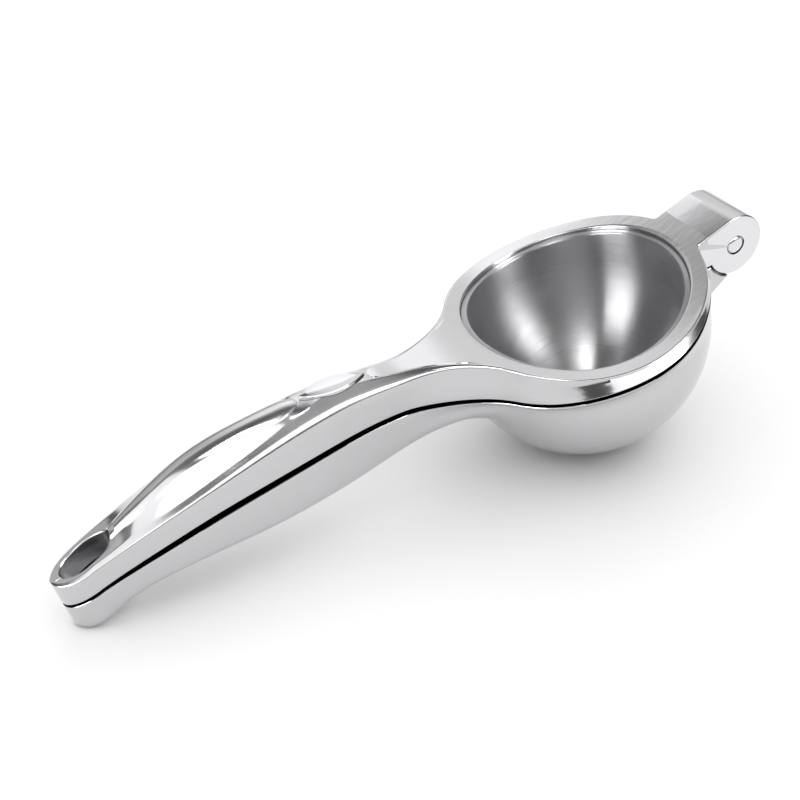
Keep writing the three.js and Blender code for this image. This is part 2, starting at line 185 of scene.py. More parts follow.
# Rounded edges.
LIP_ROUND = 0.5
BORE_ROUND = 0.3
CORNER_ROUND = 0.45
RIM_ROUND = 0.35
BRACKET_ROUND = 0.3
SHARP_ANGLE = math.radians(28)
BADGE_SHARP_ANGLE = math.radians(20)

# How far a cutter reaches past what it cuts. The room for the ears is cleared
# out of the lower lever between two stations.
CUT_LOW = -40
CUT_TOP = 40
CUT_PAST = 2
ROOM_REACH = [30, 60]
ROOM_TOP = 12

# Painted shade in the gaps and in the hanging hole, and a painted highlight on the ears,
# as factors on the levers' base colour; and how far from a gap's face the painted shade still reaches.
GAP_PAINTED_SHADE = 0.06
HOLE_PAINTED_SHADE = 0.9
EAR_PAINTED_HIGHLIGHT = 1.28
GAP_MARGIN = 0.12
SEAT_MARGIN = 0.03


# ---------------------------------------------------------------------------
# Curves along the levers
# ---------------------------------------------------------------------------
def spline(points):
    """Natural cubic spline through [x, value] points, held level beyond its ends."""
    px, py = np.array(points, float).T
    span = np.diff(px)
    count = len(px)
    system = np.eye(count)
    right = np.zeros(count)
    for i in range(1, count - 1):
        system[i, i - 1:i + 2] = span[i - 1], 2 * (span[i - 1] + span[i]), span[i]
        right[i] = 3 * ((py[i + 1] - py[i]) / span[i] - (py[i] - py[i - 1]) / span[i - 1])
    curl = np.linalg.solve(system, right)

    def value(x):
        x = np.clip(x, px[0], px[-1])
        i = np.clip(np.searchsorted(px, x) - 1, 0, count - 2)
        t = x - px[i]
        slope = (py[i + 1] - py[i]) / span[i] - span[i] * (2 * curl[i] + curl[i + 1]) / 3
        return py[i] + slope * t + curl[i] * t ** 2 + (curl[i + 1] - curl[i]) / (3 * span[i]) * t ** 3

    return value


handle_half = spline(HALF_WIDTH)
wall_top = spline(WALL_TOP)
crest_line = spline(CREST)
parting = spline(PARTING)
underside = spline(UNDERSIDE)
facet_width = spline(FACET_WIDTH)
facet_slope = spline(FACET_SLOPE)
edge_round = spline(EDGE_ROUND)
flank_power = spline(FLANK_POWER)
relief_half = spline(RELIEF_HALF)
shoulder_drop = spline(SHOULDER_DROP)
step_height = spline(STEP)
gap = spline(GAP)


def smoothstep(value, low, high):
    t = np.clip((value - low) / (high - low), 0, 1)
    return t * t * (3 - 2 * t)


def disc_into_bar(distance, disc, bar, fillet):
    """Half width of a disc that runs into a straight bar through a hollow fillet."""
    centre_y = bar + fillet
    centre_x = math.sqrt((disc + fillet) ** 2 - centre_y ** 2)
    if distance < centre_x * disc / (disc + fillet):
        return math.sqrt(disc ** 2 - distance ** 2)
    if distance < centre_x:
        return centre_y - math.sqrt(fillet ** 2 - (distance - centre_x) ** 2)
    return bar


def half_width(x, ring):
    """Half width of a lever seen from above: hinge end, ring, neck, handle, tip."""
    if x > 0:
        return disc_into_bar(x, ring, HINGE_HALF, HINGE_FILLET)
    if x > HALF_WIDTH[-1][0]:
        return disc_into_bar(-x, ring, NECK_HALF, NECK_FILLET)
    if x > TIP_X:
        return float(handle_half(x))
    return float(handle_half(TIP_X)) * math.sqrt(max(1 - ((x - TIP_X) / TIP_LENGTH) ** 2, 0))


def rim_half(x):
    """Half width at the parting line. The ring's flare fades towards the hinge."""
    return half_width(x, RING_PART_R + (RING_HINGE_R - RING_PART_R) * smoothstep(x, 0, 30))


def relief_part(x):
    """How much of the full relief stands at a station: none between the two caps."""
    if x < SPINE_END:
        return math.sqrt(1 - max(1 - (SPINE_END - x) / SPINE_CAP, 0) ** 2)
    if x > TONGUE_END:
        return math.sqrt(1 - max(1 - (x - TONGUE_END) / TONGUE_CAP, 0) ** 2)
    return 0.0


class Deck:
    """Top of the upper lever at one station."""

    def __init__(self, x):
        self.wide = half_width(x, RING_TOP_R)
        self.edge = min(float(edge_round(x)), 0.3 * self.wide)
        self.slope = max(float(facet_slope(x)), 0)
        self.facet = self.wide - max(min(float(facet_width(x)), 0.6 * self.wide), self.edge)
        self.power = float(flank_power(x))
        part = relief_part(x)
        step = max(float(step_height(x)), 0)
        full = min(max(float(relief_half(x)), 0.05), 0.93 * self.facet)
        peak = max(float(crest_line(x)), float(wall_top(x)))
        climb = self.slope * (self.wide - self.facet)
        self.top = min(float(wall_top(x)), peak - climb - step)
        self.facet_z = self.top + climb
        foot = peak - max(float(shoulder_drop(x)), 0) - step
        self.rise = max(foot - self.facet_z, 0) / (1 - (full / self.facet) ** self.power)
        self.crease = max(full * part, 0.03 * self.facet)
        valley = self.flank(0)
        self.shoulder = self.flank(self.crease) + step * part
        self.centre = valley + (peak - valley) * part

    def height(self, y):
        y = abs(y)
        if y >= self.facet:
            return self.top + self.slope * (self.wide - y)
        if y >= self.crease:
            return self.flank(y)
        return self.centre - (self.centre - self.shoulder) * (y / self.crease) ** SPINE_POWER

    def flank(self, y):
        return self.facet_z + self.rise * (1 - (y / self.facet) ** self.power)


def stations():
    """Places along a lever, close together at the tip, the caps and the hinge."""
    tip = TIP_X - TIP_LENGTH * np.sin(np.linspace(1.555, 0, 40))
    handle = np.arange(TIP_X + 0.7, -36, 0.7)
    ring = -36 * np.cos(np.linspace(0, math.pi, 170))[:-1]
    hinge = np.linspace(36, HINGE_START_X, 18)
    caps = [SPINE_END - SPINE_CAP * t ** 2 for t in np.linspace(0.02, 1, 14)]
    caps += [TONGUE_END + TONGUE_CAP * t ** 2 for t in np.linspace(0.02, 1, 14)]
    every = np.unique(np.round(np.concatenate([tip, handle, ring, hinge, caps]), 4))
    keep = np.concatenate([[True], np.diff(every) > 0.004])
    return every[keep]


# ---------------------------------------------------------------------------
# Meshes
# ---------------------------------------------------------------------------
def mesh_object(name, points, faces):
    """Object with a new mesh, linked to the scene."""
    mesh = bpy.data.meshes.new(name)
    mesh.from_pydata([tuple(p) for p in points], [], faces)
    mesh.validate()
    obj = bpy.data.objects.new(name, mesh)
    bpy.context.scene.collection.objects.link(obj)
    return obj


def skin(name, rows, closed=False):
    """Quads over closed rows of points. Open stacks of rows get a fan on each end."""
    rows = np.array(rows, float)
    count, across = rows.shape[:2]
    points = rows.reshape(-1, 3).tolist()
    faces = []
    for i in range(count if closed else count - 1):
        here, there = i * across, (i + 1) % count * across
        for j in range(across):
            k = (j + 1) % across
            faces.append((here + j, here + k, there + k, there + j))
    if not closed:
        points += [rows[0].mean(0).tolist(), rows[-1].mean(0).tolist()]
        first, last = len(points) - 2, len(points) - 1
        for j in range(across):
            k = (j + 1) % across
            faces.append((first, k, j))
            faces.append((last, (count - 1) * across + j, (count - 1) * across + k))
    obj = mesh_object(name, points, faces)
    turn_out(obj)
    return obj


def turn_out(obj):
    """Faces out, by the sign of the enclosed volume."""
    mesh = obj.data
    mesh.calc_loop_triangles()
    tris = np.zeros(len(mesh.loop_triangles) * 3, np.int32)
    mesh.loop_triangles.foreach_get("vertices", tris)
    co = np.zeros(len(mesh.vertices) * 3)
    mesh.vertices.foreach_get("co", co)
    a, b, c = co.reshape(-1, 3)[tris.reshape(-1, 3)].transpose(1, 0, 2)
    if np.einsum("ij,ij->", a, np.cross(b, c)) < 0:
        mesh.flip_normals()


def mirrored(x, half):
    """Closed section from a half section that runs bottom middle to top middle."""
    left = [(-y, z) for y, z in half[1:-1]][::-1]
    return [(x, y, z) for y, z in list(half) + left]


def bend(start, corner, end, steps):
    """Points of a quadratic curve, both ends included."""
    t = np.linspace(0, 1, steps)[:, None]
    start, corner, end = np.array(start), np.array(corner), np.array(end)
    return ((1 - t) ** 2 * start + 2 * t * (1 - t) * corner + t ** 2 * end).tolist()


def arc(x, z, radius, start, end, steps):
    """Points on a circle's arc. Angles are in degrees, from the X axis."""
    angles = np.radians(np.linspace(start, end, steps))
    return [(x + radius * math.cos(a), z + radius * math.sin(a)) for a in angles]


def rounded_slab(name, outline, half, edge):
    """XZ outline pushed out to both sides of the middle plane, with rounded rims."""
    points = np.array(outline, float)
    area = np.sum(points[:, 0] * np.roll(points[:, 1], -1) - np.roll(points[:, 0], -1) * points[:, 1])
    ahead = np.roll(points, -1, 0) - points
    ahead /= np.linalg.norm(ahead, axis=1)[:, None]
    normal = np.stack([-ahead[:, 1], ahead[:, 0]], 1) * math.copysign(1, area)
    mitre = normal + np.roll(normal, 1, 0)
    mitre /= np.sum(mitre * normal, 1)[:, None]
    rows = []
    levels = [(edge * (1 - math.sin(a)), half - edge * (1 - math.cos(a)))
              for a in np.linspace(0, math.pi / 2, 7)] if edge else [(0, half)]
    for inset, y in levels:
        rows.append([(p[0], y, p[1]) for p in points + inset * mitre])
    for inset, y in levels[::-1]:
        rows.append([(p[0], -y, p[1]) for p in points + inset * mitre])
    return skin(name, rows)


def cross_cylinder(name, radius, half, step=None, steps=96):
    """Cylinder about the hinge axis. A step of [width, depth] widens both ends."""
    levels = [(half, radius)]
    if step:
        wide, deep = step
        levels = [(half + 1, radius + wide), (half - deep, radius + wide), (half - deep, radius)]
    rows = [[(x, y, z) for x, z in arc(PIN_X, PIN_Z, r, 0, 360 - 360 / steps, steps)]
            for y, r in levels + [(-y, r) for y, r in levels[::-1]]]
    return skin(name, rows)


def combine(target, other, operation):
    """Boolean of two closed meshes. The first one becomes the result."""
    modifier = target.modifiers.new("boolean", "BOOLEAN")
    modifier.operation = operation
    modifier.solver = "MANIFOLD"
    modifier.object = other
    evaluated = target.evaluated_get(bpy.context.evaluated_depsgraph_get())
    mesh = bpy.data.meshes.new_from_object(evaluated)
    target.modifiers.clear()
    target.data = mesh


class Normals:
    """Remembers the smooth normals of the shapes that a solid is cut from."""

    def __init__(self):
        self.points, self.triangles, self.corners = [], [], []
        self.count = 0

    def add(self, obj):
        mesh = obj.data
        mesh.shade_smooth()
        mesh.set_sharp_from_angle(angle=SHARP_ANGLE)
        mesh.calc_loop_triangles()
        co = np.zeros(len(mesh.vertices) * 3)
        mesh.vertices.foreach_get("co", co)
        tris = np.zeros(len(mesh.loop_triangles) * 3, np.int32)
        mesh.loop_triangles.foreach_get("vertices", tris)
        loops = np.zeros(len(mesh.loop_triangles) * 3, np.int32)
        mesh.loop_triangles.foreach_get("loops", loops)
        normals = np.zeros(len(mesh.loops) * 3)
        mesh.corner_normals.foreach_get("vector", normals)
        self.points.append(co.reshape(-1, 3))
        self.triangles.append(tris.reshape(-1, 3) + self.count)
        self.corners.append(normals.reshape(-1, 3)[loops.reshape(-1, 3)])
        self.count += len(mesh.vertices)

    def give(self, obj):
        """Each corner of the result takes the normal of the shape it lies on."""
        points = np.concatenate(self.points)
        triangles = np.concatenate(self.triangles)
        corners = np.concatenate(self.corners)
        a, b, c = points[triangles].transpose(1, 0, 2)
        flat = np.cross(b - a, c - a)
        flat /= np.maximum(np.linalg.norm(flat, axis=1), 1e-12)[:, None]
        tree = BVHTree.FromPolygons(points.tolist(), triangles.tolist())
        mesh = obj.data
        result = []
        for face in mesh.polygons:
            centre = face.center
            normal = np.array(face.normal)
            for v in face.vertices:
                place = mesh.vertices[v].co
                near = place.lerp(centre, 0.03)
                best, score = None, 0.9
                for _, _, i, distance in tree.find_nearest_range(near, 0.02):
                    match = abs(flat[i] @ normal) - distance
                    if match > score:
                        best, score = i, match
                if best is None:
                    result.append(normal)
                    continue
                weights = barycentric(np.array(place), a[best], b[best], c[best])
                smooth = weights @ corners[best]
                smooth *= math.copysign(1, smooth @ normal) / max(np.linalg.norm(smooth), 1e-9)
                result.append(smooth)
        mesh.shade_smooth()
        mesh.normals_split_custom_set(result)


def barycentric(p, a, b, c):
    """Weights of a triangle's corners at a point, kept inside the triangle."""
    u, v, w = b - a, c - a, p - a
    uu, uv, vv, wu, wv = u @ u, u @ v, v @ v, w @ u, w @ v
    area = max(uu * vv - uv * uv, 1e-18)
    s = min(max((vv * wu - uv * wv) / area, 0), 1)
    t = min(max((uu * wv - uv * wu) / area, 0), 1 - s)
    return np.array([1 - s - t, s, t])


def carve(body, steps):
    """Runs booleans on a solid in turn and gives the result smooth normals."""
    normals = Normals()
    normals.add(body)
    for operation, other in steps:
        normals.add(other)
        combine(body, other, operation)
        bpy.data.objects.remove(other)
    normals.give(body)
    # Paints shade into the gaps and the hanging hole and a highlight on the ears, as a factor on the
    # base colour.
    painted_shade_and_highlight(body)
    return body


# ---------------------------------------------------------------------------
# Upper lever
# ---------------------------------------------------------------------------
def upper_section(x):
    """Closed outline of the upper lever at one station."""
    deck = Deck(x)
    foot = float(parting(x) + gap(x) / 2)
    foot_half = rim_half(x)
    soft = min(0.7 * CORNER_ROUND, 0.3 * deck.wide)
    half = [(0, foot), (0.5 * foot_half, foot)]
    half += bend((foot_half - soft, foot), (foot_half, foot), (foot_half, foot + soft), 5)
    low, high = foot + soft, deck.top - deck.edge
    for t in (0.25, 0.5, 0.75):
        half.append((foot_half + (deck.wide - foot_half) * t, low + (high - low) * t))
    inner = deck.wide - deck.edge
    half += bend((deck.wide, high), (deck.wide, deck.top), (inner, deck.height(inner)), 8)
    for t in (0.35, 0.7):
        y = inner + (deck.facet - inner) * t
        half.append((y, deck.height(y)))
    for t in np.linspace(0, 1, 10)[:-1]:
        y = deck.facet + (deck.crease - deck.facet) * t
        half.append((y, deck.height(y)))
    for t in (0.985, 0.93, 0.85, 0.74, 0.62, 0.5, 0.38, 0.26, 0.13, 0):
        y = deck.crease * t
        half.append((y, deck.height(y)))
    return mirrored(x, half)


def ear_outline():
    """Ear and cover seen from the side: a disc round the pin and a tangent to the ring."""
    start_z = float(wall_top(HINGE_START_X))
    away = math.hypot(HINGE_START_X - PIN_X, start_z - PIN_Z)
    towards = math.atan2(start_z - PIN_Z, HINGE_START_X - PIN_X)
    tangent = math.degrees(towards - math.acos(EAR_R / away))
    foot = math.degrees(math.asin((PIN_Z - EAR_FOOT_Z) / EAR_R))
    back = [(HINGE_START_X - 1, float(wall_top(HINGE_START_X - 1)) - 1.2)]
    return [(EAR_BACK_X, 3), (EAR_BACK_X, EAR_FOOT_Z),
            *arc(PIN_X, PIN_Z, EAR_R, foot - 180, tangent, 110), (HINGE_START_X, start_z), *back]


def slot_outline():
    """Slot between the ears, round the tongue."""
    start, end = SLOT_ANGLES
    return [*arc(PIN_X, PIN_Z, EAR_R + 3, start, end, 40),
            *arc(PIN_X, PIN_Z, SLOT_R, end - 360, start, 70)]


def lipped_cutter(name, around, lip):
    """Upright cutter through the deck whose top flares along the deck's surface."""
    profile = [(lip * (1 - math.cos(a)), lip * (math.sin(a) - 1))
               for a in np.radians(np.linspace(0, 74, 8))]
    steep = math.radians(16)
    outward = profile[-1]
    reach = 1.4
    profile.append((outward[0] + reach * math.cos(steep), outward[1] + reach * math.sin(steep)))
    rows = [[(x, y, CUT_LOW) for x, y, _, _, _ in around]]
    for out, rise in profile:
        rows.append([(x + out * nx, y + out * ny, z + rise) for x, y, z, nx, ny in around])
    rows.append([(x, y, CUT_TOP) for x, y, _, _, _ in around])
    return skin(name, rows)


def oval(x0, length, width, steps, height_at):
    """Points round an oval on the deck, each with its height and outward direction."""
    points = []
    for a in np.linspace(0, 2 * math.pi, steps, endpoint=False):
        x, y = x0 + length * math.cos(a), width * math.sin(a)
        nx, ny = math.cos(a) / length, math.sin(a) / width
        size = math.hypot(nx, ny)
        points.append((x, y, height_at(x, y), nx / size, ny / size))
    return points


def deck_height(x, y):
    return Deck(x).height(y)


def pocket(low_at, high_at):
    """Cored pocket in a handle's mating face, between two heights."""
    middle = (POCKET_START + POCKET_END) / 2
    reach = (POCKET_START - POCKET_END) / 2
    rows = []
    for u in np.sin(np.linspace(-math.pi / 2, math.pi / 2, 90)):
        x = middle + reach * u
        half = (half_width(x, RING_TOP_R) - POCKET_WALL) * max(math.sqrt(1 - u ** 8), 0.05)
        low, high = low_at(x), high_at(x)
        soft = min(1.0, 0.4 * half)
        corner = bend((half, high - soft), (half, high), (half - soft, high), 5)
        if low_at is pocket_floor:
            corner = bend((half - soft, low), (half, low), (half, low + soft), 5)
            rows.append(mirrored(x, [(0, low), *corner, (half, high), (0, high)]))
        else:
            rows.append(mirrored(x, [(0, low), (half, low), *corner, (0, high)]))
    return skin("pocket", rows)


def pocket_floor(x):
    return float(underside(x)) + POCKET_FLOOR


def lens_half(x, grow):
    """Half width of the badge's lens outline, made of two arcs."""
    length = BADGE_HALF_LENGTH + grow
    wide = BADGE_HALF_WIDTH + grow
    radius = (length ** 2 + wide ** 2) / (2 * wide)
    return math.sqrt(max(radius ** 2 - (x - BADGE_X) ** 2, 0)) - (radius - wide)


def lens_rows(grow, section):
    """Sections of a lens-shaped body that follows the handle's crest."""
    reach = (BADGE_HALF_LENGTH + grow) * 0.998
    return [mirrored(x, section(x, max(lens_half(x, grow), 0.02)))
            for x in BADGE_X + reach * np.sin(np.linspace(-math.pi / 2, math.pi / 2, 80))]


def badge_recess():
    def section(x, half):
        low = float(crest_line(x)) - BADGE_DEPTH - FIT_GAP
        return [(0, low), (half, low), (half, low + 12), (0, low + 12)]
    return skin("recess", lens_rows(BADGE_GAP, section))


def upper_handle():
    body = skin("upper_handle_shell", [upper_section(x) for x in stations()])
    bore = oval(0, RING_BORE_R, RING_BORE_R, 240, deck_height)
    hole = oval(HOLE_X, HOLE_HALF_LENGTH, HOLE_HALF_WIDTH, 120, deck_height)
    return carve(body, [
        ("UNION", rounded_slab("ears", ear_outline(), HINGE_HALF, CORNER_ROUND)),
        ("DIFFERENCE", lipped_cutter("bore", bore, BORE_ROUND)),
        ("DIFFERENCE", lipped_cutter("hole", hole, LIP_ROUND)),
        ("DIFFERENCE", rounded_slab("slot", slot_outline(), LUG_HALF + FIT_GAP, 0)),
        ("DIFFERENCE", cross_cylinder("pin_bore", PIN_BORE_R, HINGE_HALF, PIN_GROOVE)),
        ("DIFFERENCE", pocket(lambda x: float(parting(x)) - CUT_PAST,
                              lambda x: float(wall_top(x)) - POCKET_ROOF)),
        ("DIFFERENCE", badge_recess()),
    ])


def badge_plate():
    def section(x, half):
        top = float(crest_line(x)) + BADGE_RISE
        low = float(crest_line(x)) - BADGE_DEPTH
        cut = min(BADGE_CHAMFER, 0.4 * half)
        ridge = BADGE_CROWN * min(half / 1.5, 1)
        return [(0, low), (half, low), (half, top - cut), (half - cut, top),
                (0.5 * (half - cut), top + 0.5 * ridge), (0, top + ridge)]
    body = skin("badge_lens", lens_rows(0, section))
    body.data.shade_smooth()
    body.data.set_sharp_from_angle(angle=BADGE_SHARP_ANGLE)
    return body


def press_cup():
    """Turned cup whose rolled lip follows the curved top of the ring."""
    rows = []
    inner = CUP_R - CUP_WALL
    lip = CUP_LIP_ROUND
    for angle in np.linspace(0, 2 * math.pi, 240, endpoint=False):
        c, s = math.cos(angle), math.sin(angle)
        high = float(wall_top(CUP_R * c)) - CUP_LIP_DROP - lip
        profile = arc(0, CUP_CENTRE_Z, CUP_R, POLE_ANGLE, 0, 60)
        profile += [(CUP_R, CUP_CENTRE_Z + (high - CUP_CENTRE_Z) * t) for t in (0.3, 0.6)]
        profile += arc(CUP_R - lip / 3, high + lip * 2 / 3, lip / 3, 0, 90, 4)
        profile += arc(inner + lip, high, lip, 90, 180, 8)
        profile += [(inner, CUP_CENTRE_Z + (high - CUP_CENTRE_Z) * t) for t in (0.6, 0.3)]
        profile += arc(0, CUP_CENTRE_Z, inner, 0, POLE_ANGLE, 60)
        rows.append([(r * c, r * s, z) for r, z in profile])
    body = revolve("press_cup_bowl", np.array(rows))
    body.data.shade_smooth()
    return body


def revolve(name, rows):
    """Quads round an axis between open rows, with a fan over each pole."""
    count, across = rows.shape[:2]
    points = rows.reshape(-1, 3).tolist()
    points += [rows[:, 0].mean(0).tolist(), rows[:, -1].mean(0).tolist()]
    first, last = len(points) - 2, len(points) - 1
    faces = []
    for i in range(count):
        here, there = i * across, (i + 1) % count * across
        for j in range(across - 1):
            faces.append((here + j, here + j + 1, there + j + 1, there + j))
        faces.append((first, here, there))
        faces.append((last, there + across - 1, here + across - 1))
    obj = mesh_object(name, points, faces)
    turn_out(obj)
    return obj


def hinge_pin():
    end = HINGE_HALF + PIN_DOME
    profile = [(PIN_R * math.sin(a), end - PIN_EDGE * (1 - math.cos(a)))
               for a in np.linspace(0.02, math.pi / 2, 12)]
    profile += [(r, -y) for r, y in profile[::-1]]
    rows = [[(PIN_X + r * math.cos(a), y, PIN_Z + r * math.sin(a)) for r, y in profile]
            for a in np.linspace(0, 2 * math.pi, 72, endpoint=False)]
    body = revolve("hinge_pin_steel", np.array(rows))
    body.data.shade_smooth()
    return body


# ---------------------------------------------------------------------------
# Lower lever
# ---------------------------------------------------------------------------
def lower_section(x):
    """Closed outline of the lower lever at one station."""
    rim = float(parting(x) - gap(x) / 2)
    centre = min(BOWL_CENTRE_Z, rim - BOWL_SIDE)
    rim_wide = rim_half(x)
    if x > 0:
        wide = math.sqrt(BOWL_R ** 2 - x * x)
        deep = wide
    else:
        wide = half_width(x, BOWL_R)
        drop = centre - float(underside(x))
        deep = drop if x <= UNDERSIDE[-1][0] else disc_into_bar(-x, BOWL_R, drop, BOWL_FILLET)
    square = 2 + SQUARENESS * smoothstep(-x, *SQUARING_REACH)
    half = [(wide * math.sin(a) ** (2 / square), centre - deep * max(math.cos(a), 0) ** (2 / square))
            for a in np.linspace(0, math.pi / 2, 34)]
    half[-1] = (wide, centre)
    soft = min(RIM_ROUND, 0.3 * wide)
    for t in (0.25, 0.5, 0.75):
        half.append((wide + (rim_wide - wide) * t * t, centre + (rim - soft - centre) * t))
    half += bend((rim_wide, rim - soft), (rim_wide, rim), (rim_wide - soft, rim), 5)
    half += [(0.5 * rim_wide, rim), (0, rim)]
    return mirrored(x, half)


def bowl_hollow():
    inner = BOWL_R - BOWL_WALL
    profile = [*arc(0, BOWL_CENTRE_Z, inner, POLE_ANGLE, 0, 60), (inner, ROOM_TOP), (0.01, ROOM_TOP)]
    rows = [[(r * math.cos(a), r * math.sin(a), z) for r, z in profile]
            for a in np.linspace(0, 2 * math.pi, 200, endpoint=False)]
    return revolve("hollow", np.array(rows))


def bowl_foot():
    """Small flat foot round the lowest drain hole, level with the table."""
    rows = []
    for drop in (FOOT_DROP, FOOT_DROP - FOOT_HEIGHT):
        row = []
        for a in np.linspace(0, 2 * math.pi, 80, endpoint=False):
            along = FOOT_R * math.cos(a)
            row.append((along * math.cos(REST_TILT) - drop * math.sin(REST_TILT), FOOT_R * math.sin(a),
                        BOWL_CENTRE_Z - along * math.sin(REST_TILT) - drop * math.cos(REST_TILT)))
        rows.append(row)
    return skin("foot", rows)


def bracket():
    """Bracket behind the bowl, hollowed out under the ears."""
    start, end = BRACKET_SEAT_ANGLES
    outline = [(BRACKET_ROOT[0], BRACKET_TOP_Z), tuple(BRACKET_ROOT), tuple(BRACKET_TOE),
               *arc(PIN_X, PIN_Z, SEAT_R, end, start, 50)]
    return rounded_slab("bracket", outline, HINGE_HALF, BRACKET_ROUND)


def lug_web():
    """Web that carries the tongue's disc."""
    start, end = LUG_WEB_ANGLES
    outline = [(PIN_X, PIN_Z), arc(PIN_X, PIN_Z, SEAT_R + 1, start, start, 1)[0], tuple(BRACKET_TOE),
               arc(PIN_X, PIN_Z, SEAT_R, end, end, 1)[0]]
    return rounded_slab("web", outline, LUG_HALF, 0)


def upright(name, centre, radii, heights, steps):
    """Upright oval column, from one height to the other."""
    angles = np.linspace(0, 2 * math.pi, steps, endpoint=False)
    return skin(name, [[(centre[0] + radii[0] * math.cos(a), centre[1] + radii[1] * math.sin(a), z)
                        for a in angles] for z in heights])


def stop_land():
    """Low land that the upper lever closes on, lying along the mating face."""
    reach = 2
    tilt = math.atan2(float(parting(STOP_X - reach) - parting(STOP_X + reach)), 2 * reach)
    half_y = float(handle_half(STOP_X)) - STOP_INSET
    high = float(gap(STOP_X)) / 2 - FIT_GAP
    low = high - STOP_ROOT
    rows = []
    for along in (-STOP_LENGTH / 2, STOP_LENGTH / 2):
        row = []
        for y, up in ((-half_y, low), (half_y, low), (half_y, high), (-half_y, high)):
            row.append((STOP_X + along * math.cos(tilt) + up * math.sin(tilt), y,
                        float(parting(STOP_X)) - along * math.sin(tilt) + up * math.cos(tilt)))
        rows.append(row)
    return skin("land", rows)


def lower_handle():
    places = stations()
    bowl_places = BOWL_R * np.sin(np.linspace(0, math.pi / 2 - 0.03, 90))
    places = np.concatenate([places[places < 0], bowl_places])
    body = skin("lower_handle_shell", [lower_section(x) for x in places])
    start, end = ROOM_REACH
    room = [(start, BRACKET_TOP_Z), (end, BRACKET_TOP_Z), (end, ROOM_TOP), (start, ROOM_TOP)]
    steps = [
        ("UNION", stop_land()),
        ("UNION", bowl_foot()),
        ("DIFFERENCE", rounded_slab("room", room, HINGE_HALF + FIT_GAP, 0)),
        ("UNION", bracket()),
        ("UNION", cross_cylinder("lug", LUG_R, LUG_HALF)),
        ("UNION", lug_web()),
        ("DIFFERENCE", bowl_hollow()),
        ("DIFFERENCE", cross_cylinder("pin_bore", PIN_BORE_R, HINGE_HALF)),
        ("DIFFERENCE", pocket(pocket_floor, lambda x: float(parting(x)) + CUT_PAST)),
        ("DIFFERENCE", upright("hole", (HOLE_X, 0), (HOLE_HALF_LENGTH, HOLE_HALF_WIDTH),
                               (CUT_LOW, CUT_TOP), 120)),
    ]
    for radius, count in DRAIN_RINGS:
        for i in range(count):
            a = 2 * math.pi * i / count
            place = (radius * math.cos(a), radius * math.sin(a))
            steps.append(("DIFFERENCE", upright("drain", place, (DRAIN_R, DRAIN_R), DRAIN_REACH, 36)))
    return carve(body, steps)


def painted_shade_and_highlight(obj):
    """Painted shade and highlight on the base colour: painted shade in the gaps and the hanging hole, a
    painted highlight on the ears.
    """
    mesh = obj.data
    values = np.ones(len(mesh.loops), np.float32)
    for face in mesh.polygons:
        x, y, z = face.center
        upright = abs(face.normal.z)
        from_pin = math.hypot(x - PIN_X, z - PIN_Z)
        under_ear = EAR_R - 0.02 < from_pin < SEAT_R + 0.02 and z < EAR_FOOT_Z and x < PIN_X
        in_hole = math.hypot((x - HOLE_X) / HOLE_HALF_LENGTH, y / HOLE_HALF_WIDTH) < 1.03
        in_gap = x < EAR_BACK_X and abs(z - parting(x)) < gap(x) / 2 + GAP_MARGIN
        on_seat = (x > BRACKET_ROOT[0]
                   and BRACKET_TOP_Z - SEAT_MARGIN < z < EAR_FOOT_Z + SEAT_MARGIN)
        # Painted shade between the levers and on the seats under the ears; painted highlight on the
        # ears' flat faces.
        if in_gap and upright > 0.8 or on_seat and upright > 0.9:
            bright = GAP_PAINTED_SHADE
        elif under_ear and abs(face.normal.y) < 0.3:
            bright = GAP_PAINTED_SHADE
        elif in_hole and upright < 0.3:
            bright = HOLE_PAINTED_SHADE
        elif from_pin < EAR_R and abs(face.normal.y) > 0.99:
            bright = EAR_PAINTED_HIGHLIGHT
        else:
            continue
        values[face.loop_start:face.loop_start + face.loop_total] = bright
    mesh.attributes.new("painted_shade_and_highlight", "FLOAT", "CORNER").data.foreach_set("value", values)


# ---------------------------------------------------------------------------
# Materials
# ---------------------------------------------------------------------------
def new_material(name):
    material = bpy.data.materials.new(name)
    material.use_nodes = True
    nodes, links = material.node_tree.nodes, material.node_tree.links
    return material, nodes, links, nodes["Principled BSDF"]


